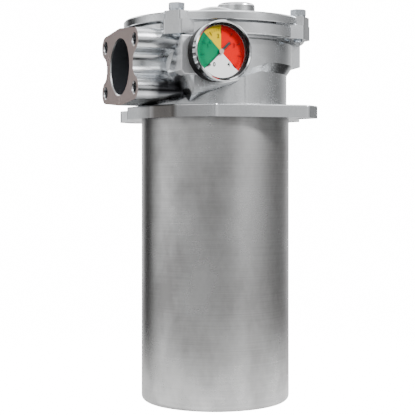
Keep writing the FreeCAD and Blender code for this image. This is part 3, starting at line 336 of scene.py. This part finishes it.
# Gauge pad and its web: shot-blasted, so they scatter the light instead of mirroring the gauge's case.
PAD = (("X", -0.0705, -0.0110), ("Y", -0.0850, -0.0640), ("Z", 0.0125, 0.0720))
blasted = within(tree, along, PAD, 0.002, 0.006)
dull = add(tree, "ShaderNodeMath", {"operation": "MAXIMUM"}, _0=dull, _1=blasted).outputs[0]
body_share = add(tree, "ShaderNodeMapRange", _0=dull, _3=1.0, _4=0.35).outputs[0]
tree.links.new(body_share, skin.inputs["Metallic"])
dress(cast_aluminium, "head_casting", "cover")
finish("head_casting", cast_aluminium, 17)
finish("cover", cast_aluminium, 22)


# Bowl.
# A deep-drawn aluminium tube with a closed end, brushed round and round on a lathe. The brushing is
# finer than a pixel, so it is drawn as lines about 1 mm apart, with slow patches of duller metal. The
# brushing spreads each reflection up and down, across its lines.

BRUSH = 0.0011
PATCH = 0.045
brushed = bpy.data.materials.new("lathe_brushed_aluminium")
brushed.use_nodes = True
tree = brushed.node_tree
tree.nodes.clear()
spot = add(tree, "ShaderNodeTexCoord").outputs["Object"]
drawn = add(tree, "ShaderNodeMapping", Vector=spot, Scale=(12.0, 12.0, 1 / BRUSH)).outputs[0]
lines = add(tree, "ShaderNodeTexNoise", Vector=drawn, Scale=1.0, Detail=4.0, Roughness=0.7).outputs[0]
patch = add(tree, "ShaderNodeMapping", Vector=spot, Scale=(1.0, 1.0, 0.6)).outputs[0]
patches = add(tree, "ShaderNodeTexNoise",
              Vector=patch, Scale=1 / PATCH, Detail=4.0, Roughness=0.6).outputs[0]
mixed = add(tree, "ShaderNodeMath", {"operation": "MULTIPLY_ADD"}, _0=lines, _1=0.22, _2=patches).outputs[0]
tone = ramp(tree, mixed, [(0.42, linear("#A7A6A6")), (0.60, linear("#C6C6C6")), (0.80, linear("#E2E2E2"))])
rough = add(tree, "ShaderNodeMapRange", _0=mixed, _1=0.4, _2=0.85, _3=0.36, _4=0.22).outputs[0]
relief = add(tree, "ShaderNodeBump", Strength=1.0, Distance=0.00001, Height=lines).outputs[0]
turning = add(tree, "ShaderNodeTangent", {"direction_type": "RADIAL", "axis": "Z"}).outputs[0]
skin = add(tree, "ShaderNodeBsdfPrincipled", Base_Color=tone, Metallic=1.0, Roughness=rough,
           Normal=relief, Anisotropic=0.3, Anisotropic_Rotation=0.25, Tangent=turning)
add(tree, "ShaderNodeOutputMaterial", _0=skin.outputs[0])
dress(brushed, "bowl")


# Cover bolts and washers.
# Hexagon bolts, split washers and plain washers of steel, zinc plated: a cool bright metal with a thin
# blue passivation.

zinc, tree, skin, spot = metal("blue_zinc_plated_steel", "#EEF4FA", "#C9D3DE", 0.24, 0.0009, 0.00002)
dress(zinc, "cover_bolts", "cover_lock_washers", "cover_flat_washers")
finish("cover_bolts", zinc)
finish("cover_lock_washers", zinc)
finish("cover_flat_washers", zinc)


# Seals.
# O-rings and the gauge's flat seal, moulded in black nitrile rubber with a dull, slightly dusty skin.

rubber, tree, skin, spot = metal("nitrile_rubber", "#1B1C1E", "#101112", 0.62, 0.0007, 0.00002)
skin.inputs["Metallic"].default_value = 0.0
dress(rubber, "bowl_o_ring", "cover_o_ring", "element_o_ring", "gauge_seal", "gauge_window_gasket")


# Springs.
# Coiled from drawn spring steel wire, oiled, so dark and smooth along the wire.

spring_wire, tree, skin, spot = metal("drawn_spring_wire", "#8D9196", "#5F6368", 0.28, 0.0010, 0.00001)
dress(spring_wire, "hold_down_spring", "bypass_spring")

# The bypass spring shortens by the poppet's travel as the valve opens; its copy gets a mesh of its own.
coil = finish("bypass_spring", spring_wire, 60)
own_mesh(coil)


# Filter element.
# Tinned steel end caps and perforated core with a pleated pack of resin-treated glass-fibre paper
# between them.

tinned, tree, skin, spot = metal("tinned_steel_sheet", "#C9CCCE", "#A5A8AA", 0.22, 0.0030, 0.00001)
dress(tinned, "element_top_cap", "element_bottom_cap", "element_core")

media, tree, skin, spot = metal("resin_treated_filter_paper", "#E9E3CF", "#D3CAB0", 0.85, 0.0006, 0.00006)
skin.inputs["Metallic"].default_value = 0.0
dress(media, "element_media")


# Bypass valve.
# Cage and poppet are injection moulded in black glass-filled nylon, matt with a faint flow pattern.

nylon, tree, skin, spot = metal("glass_filled_nylon", "#2A2B2E", "#1C1D1F", 0.48, 0.0005, 0.00003)
skin.inputs["Metallic"].default_value = 0.0
dress(nylon, "bypass_cage", "bypass_poppet")


# Gauge case, bezel and window.
# A pressed steel cup stoved in black enamel, with a chromed brass bezel crimped over its rim and a clear
# acrylic window under the bezel's lip.

enamel, tree, skin, spot = metal("black_stoved_enamel", "#060607", "#030304", 0.42, 0.0012, 0.0)
skin.inputs["Metallic"].default_value = 0.0
skin.inputs["Specular IOR Level"].default_value = 0.12
dress(enamel, "gauge_case")
finish("gauge_case", enamel)

chrome, tree, skin, spot = metal("polished_chrome", "#E4E6E8", "#D2D5D8", 0.09, 0.0040, 0.0, spread=0.02)
dress(chrome, "gauge_bezel")
finish("gauge_bezel", chrome)

# Clear acrylic: nearly all light passes, and only a trace comes back as a sharp reflection.
acrylic, tree, skin, spot = metal("clear_acrylic", "#FFFFFF", "#F8FAFA", 0.04, 0.0100, 0.0, spread=0.01)
skin.inputs["Alpha"].default_value = 0.008
dress(acrylic, "gauge_window")


# Dial.
# An aluminium disc stoved white and printed: green up to the pressure where the element begins to clog,
# yellow, then red where the bypass opens. Black ticks and plain numbers lie over the colours.

DIAL_X, DIAL_Z, DIAL_Y = -0.0397, 0.0540, -0.1000

# How thick each ink lies, and how high above the enamel the ticks and the figures begin.
INK = 0.00004
TICK_LIFT = 0.00006
FIGURE_LIFT = 0.00008

white, tree, skin, spot = metal("white_stoved_enamel", "#F4F5F4", "#EAECEC", 0.38, 0.0010, 0.0)
skin.inputs["Metallic"].default_value = 0.0
dress(white, "gauge_dial")


def printed(name, colour, dark):
    """Screen printed ink, matt, with a faint mottle from the mesh."""
    ink, tree, skin, spot = metal(name, colour, dark, 0.80, 0.0008, 0.0)
    skin.inputs["Metallic"].default_value = 0.0
    skin.inputs["Specular IOR Level"].default_value = 0.0
    return ink


def lay(name, mesh, ink, lift):
    """Stands a flat drawing up as a piece of its own, that far above the dial's face."""
    turn = Matrix.Rotation(math.radians(90), 4, "X")
    mesh.transform(Matrix.Translation((DIAL_X, DIAL_Y - lift, DIAL_Z)) @ turn)
    mesh.materials.clear()
    mesh.materials.append(ink)
    piece = bpy.data.objects.new(name, mesh)
    bpy.context.collection.objects.link(piece)
    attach(piece, "filter")
    return piece


def zone(start, end, inner, outer):
    """A thin flat slice of a ring between two angles in degrees."""
    shape = bmesh.new()
    steps = max(2, int(abs(end - start) / 3))
    rows = []
    for i in range(steps + 1):
        a = math.radians(start + (end - start) * i / steps)
        rows.append([shape.verts.new((r * math.cos(a), r * math.sin(a), z))
                     for r, z in ((inner, 0), (outer, 0), (outer, INK), (inner, INK))])
    for one, two in zip(rows, rows[1:]):
        for k in range(4):
            shape.faces.new((one[k], one[(k + 1) % 4], two[(k + 1) % 4], two[k]))
    shape.faces.new(rows[0])
    shape.faces.new(rows[-1])
    bmesh.ops.recalc_face_normals(shape, faces=shape.faces)
    mesh = bpy.data.meshes.new("zone")
    shape.to_mesh(mesh)
    shape.free()
    return mesh


# The scale runs clockwise from its start, in degrees from three o'clock.
SCALE_START, SCALE_SWEEP = 225, 270
ZONE_R = 0.0227
ARBOR_R = 0.0017
GREEN, RED = ("#007E54", "#00764E"), ("#DA0000", "#CE0000")
for name, start, end, (colour, dark) in (("zone_green", 135, SCALE_START, GREEN),
                                         ("zone_yellow", 90, 135, ("#DCBA00", "#D2B200")),
                                         ("zone_red", SCALE_START - SCALE_SWEEP, 90, RED)):
    lay(name, zone(start, end, ARBOR_R, ZONE_R), printed("ink_" + name[5:], colour, dark), 0.0)

black_ink = printed("ink_black", "#17181A", "#101113")


def tick_tree():
    """Bars set round an arc, one every so many degrees."""
    tree = bpy.data.node_groups.new("tick_marks", "GeometryNodeTree")
    tree.interface.new_socket("Geometry", in_out="OUTPUT", socket_type="NodeSocketGeometry")
    for label, kind in (("Count", "NodeSocketInt"), ("First angle", "NodeSocketFloat"),
                        ("Step angle", "NodeSocketFloat"), ("Radius", "NodeSocketFloat"),
                        ("Bar", "NodeSocketVector"), ("Ink", "NodeSocketMaterial")):
        tree.interface.new_socket(label, in_out="INPUT", socket_type=kind)
    given = add(tree, "NodeGroupInput").outputs
    index = add(tree, "GeometryNodeInputIndex").outputs[0]
    turn = add(tree, "ShaderNodeMath", {"operation": "MULTIPLY_ADD"},
               _0=index, _1=given["Step angle"], _2=given["First angle"]).outputs[0]
    x = add(tree, "ShaderNodeMath", {"operation": "MULTIPLY"}, _1=given["Radius"],
            _0=add(tree, "ShaderNodeMath", {"operation": "COSINE"}, _0=turn).outputs[0]).outputs[0]
    y = add(tree, "ShaderNodeMath", {"operation": "MULTIPLY"}, _1=given["Radius"],
            _0=add(tree, "ShaderNodeMath", {"operation": "SINE"}, _0=turn).outputs[0]).outputs[0]
    where = add(tree, "ShaderNodeCombineXYZ", _0=x, _1=y).outputs[0]
    points = add(tree, "GeometryNodePoints", Count=given["Count"], Position=where).outputs[0]
    bar = add(tree, "GeometryNodeMeshCube", Size=given["Bar"]).outputs[0]
    heading = add(tree, "ShaderNodeCombineXYZ", _2=turn).outputs[0]
    placed = add(tree, "GeometryNodeInstanceOnPoints",
                 Points=points, Instance=bar, Rotation=heading).outputs[0]
    real = add(tree, "GeometryNodeRealizeInstances", _0=placed).outputs[0]
    inked = add(tree, "GeometryNodeSetMaterial", _0=real, Material=given["Ink"]).outputs[0]
    add(tree, "NodeGroupOutput", _0=inked)
    return tree


TICKS = tick_tree()


def tick_marks(name, count, radius, bar):
    """Sets that many bars of one size along the scale, the first at its start and the last at its end."""
    step = SCALE_SWEEP / (count - 1)
    host = bpy.data.objects.new(name + "_host", bpy.data.meshes.new(name))
    bpy.context.collection.objects.link(host)
    grown = host.modifiers.new("ticks", "NODES")
    grown.node_group = TICKS
    values = {"Count": count, "First angle": math.radians(SCALE_START), "Step angle": math.radians(-step),
              "Radius": radius, "Bar": bar, "Ink": black_ink}
    for item in TICKS.interface.items_tree:
        if item.name in values and item.in_out == "INPUT":
            grown[item.identifier] = values[item.name]
    seen = host.evaluated_get(bpy.context.evaluated_depsgraph_get())
    mesh = bpy.data.meshes.new_from_object(seen)
    bpy.data.objects.remove(host)
    return lay(name, mesh, black_ink, TICK_LIFT)


tick_marks("ticks_long", 9, 0.0176, (0.0040, 0.00100, INK))
tick_marks("ticks_short", 41, 0.0184, (0.0024, 0.00050, INK))

FIGURE_R = 0.0132
FIGURE_SIZE = 0.0050
FIGURE_BOLD = 0.00014


def number(text, angle):
    """A plain figure, upright and a little bolder than its font, centred at that angle."""
    curve = bpy.data.curves.new("figure_" + text, "FONT")
    curve.body = text
    curve.size = FIGURE_SIZE
    curve.extrude = INK / 2
    curve.offset = FIGURE_BOLD
    curve.align_x = "CENTER"
    curve.align_y = "CENTER"
    host = bpy.data.objects.new("figure_host", curve)
    bpy.context.collection.objects.link(host)
    seen = host.evaluated_get(bpy.context.evaluated_depsgraph_get())
    mesh = bpy.data.meshes.new_from_object(seen)
    bpy.data.objects.remove(host)
    a = math.radians(angle)
    mesh.transform(Matrix.Translation((FIGURE_R * math.cos(a), FIGURE_R * math.sin(a), 0.0)))
    return lay("figure_" + text, mesh, black_ink, FIGURE_LIFT)


for text, turn in (("0", 241), ("1", 162), ("2", 102), ("3", 24), ("4", -57)):
    number(text, turn)


def turned_ring(name, outline, steps=128):
    """Turns (radius, depth in front of the dial) points about the gauge's axis."""
    shape = bmesh.new()
    rows = []
    for i in range(steps):
        a = 2 * math.pi * i / steps
        rows.append([shape.verts.new((r * math.cos(a), r * math.sin(a), d)) for r, d in outline])
    for i, row in enumerate(rows):
        after = rows[(i + 1) % steps]
        for k in range(len(outline)):
            n = (k + 1) % len(outline)
            shape.faces.new((row[k], row[n], after[n], after[k]))
    bmesh.ops.recalc_face_normals(shape, faces=shape.faces)
    mesh = bpy.data.meshes.new(name)
    shape.to_mesh(mesh)
    shape.free()
    return mesh


# Spacer ring between the dial and the window, turned from black anodised tube: it frames the dial, and its
# black also stands in for the shade that the bezel casts round the dial's rim.
SPACER_R, SPACER_OUTER_R = 0.0229, 0.02415
SPACER_FOOT, SPACER_TOP = 0.00012, 0.0023
anodised, tree, skin, spot = metal("black_anodised_spacer", "#0B0B0D", "#060607", 0.35, 0.0010, 0.0)
skin.inputs["Metallic"].default_value = 0.0
spacer = turned_ring("dial_spacer", [(SPACER_R, SPACER_FOOT), (SPACER_OUTER_R, SPACER_FOOT),
                                     (SPACER_OUTER_R, SPACER_TOP), (SPACER_R, SPACER_TOP)])
lay("dial_spacer", spacer, anodised, 0.0)


# Pointer and movement.
# The pointer is black painted sheet on a bright turned hub, and the two dial screws are painted like the
# zones that they sit in. Behind the dial the movement and the stem are brass, and the tube is bronze.

HUB_R = 0.00222
pointer_paint, tree, skin, spot = metal("black_pointer_paint", "#0A0A0B", "#060606", 0.45, 0.0008, 0.0)
from_hub = add(tree, "ShaderNodeVectorMath", {"operation": "SUBTRACT"},
               _0=spot, _1=(DIAL_X, 0, DIAL_Z)).outputs[0]
in_plane = add(tree, "ShaderNodeVectorMath", {"operation": "MULTIPLY"},
               _0=from_hub, _1=(1, 0, 1)).outputs[0]
away = add(tree, "ShaderNodeVectorMath", {"operation": "LENGTH"}, _0=in_plane).outputs["Value"]
bare = add(tree, "ShaderNodeMapRange", _0=away, _1=HUB_R, _2=HUB_R + 0.00002, _3=1.0, _4=0.0).outputs[0]
paint = skin.inputs["Base Color"].links[0].from_socket
hub_tone = add(tree, "ShaderNodeMix", {"data_type": "RGBA"},
               _0=bare, _6=paint, _7=linear("#A89C92")).outputs[2]
tree.links.new(hub_tone, skin.inputs["Base Color"])
tree.links.new(bare, skin.inputs["Metallic"])
dress(pointer_paint, "gauge_pointer", "zero_stop_pin")

# Screw paint: the inks of the zones, green left of the dial's middle and red right of it.
screw_paint, tree, skin, spot = metal("painted_screw_heads", RED[0], RED[1], 0.80, 0.0008, 0.0)
skin.inputs["Metallic"].default_value = 0.0
skin.inputs["Specular IOR Level"].default_value = 0.0
side = add(tree, "ShaderNodeSeparateXYZ", _0=spot).outputs["X"]
on_left = add(tree, "ShaderNodeMapRange", _0=side, _1=DIAL_X - 0.0001, _2=DIAL_X + 0.0001,
              _3=1.0, _4=0.0).outputs[0]
red_paint = skin.inputs["Base Color"].links[0].from_socket
two_tone = add(tree, "ShaderNodeMix", {"data_type": "RGBA"},
               _0=on_left, _6=red_paint, _7=linear(GREEN[0])).outputs[2]
tree.links.new(two_tone, skin.inputs["Base Color"])
dress(screw_paint, "dial_screws")

brass, tree, skin, spot = metal("turned_brass", "#D9B65E", "#C29A42", 0.25, 0.0010, 0.00001)
dress(brass, "gauge_stem", "movement_back_plate", "movement_front_plate", "movement_pillars", "sector_gear",
      "tip_link", "bourdon_tip", "pinion_arbor")

bronze, tree, skin, spot = metal("drawn_bronze_tube", "#B9794A", "#9C6238", 0.28, 0.0010, 0.00001)
dress(bronze, "bourdon_tube")
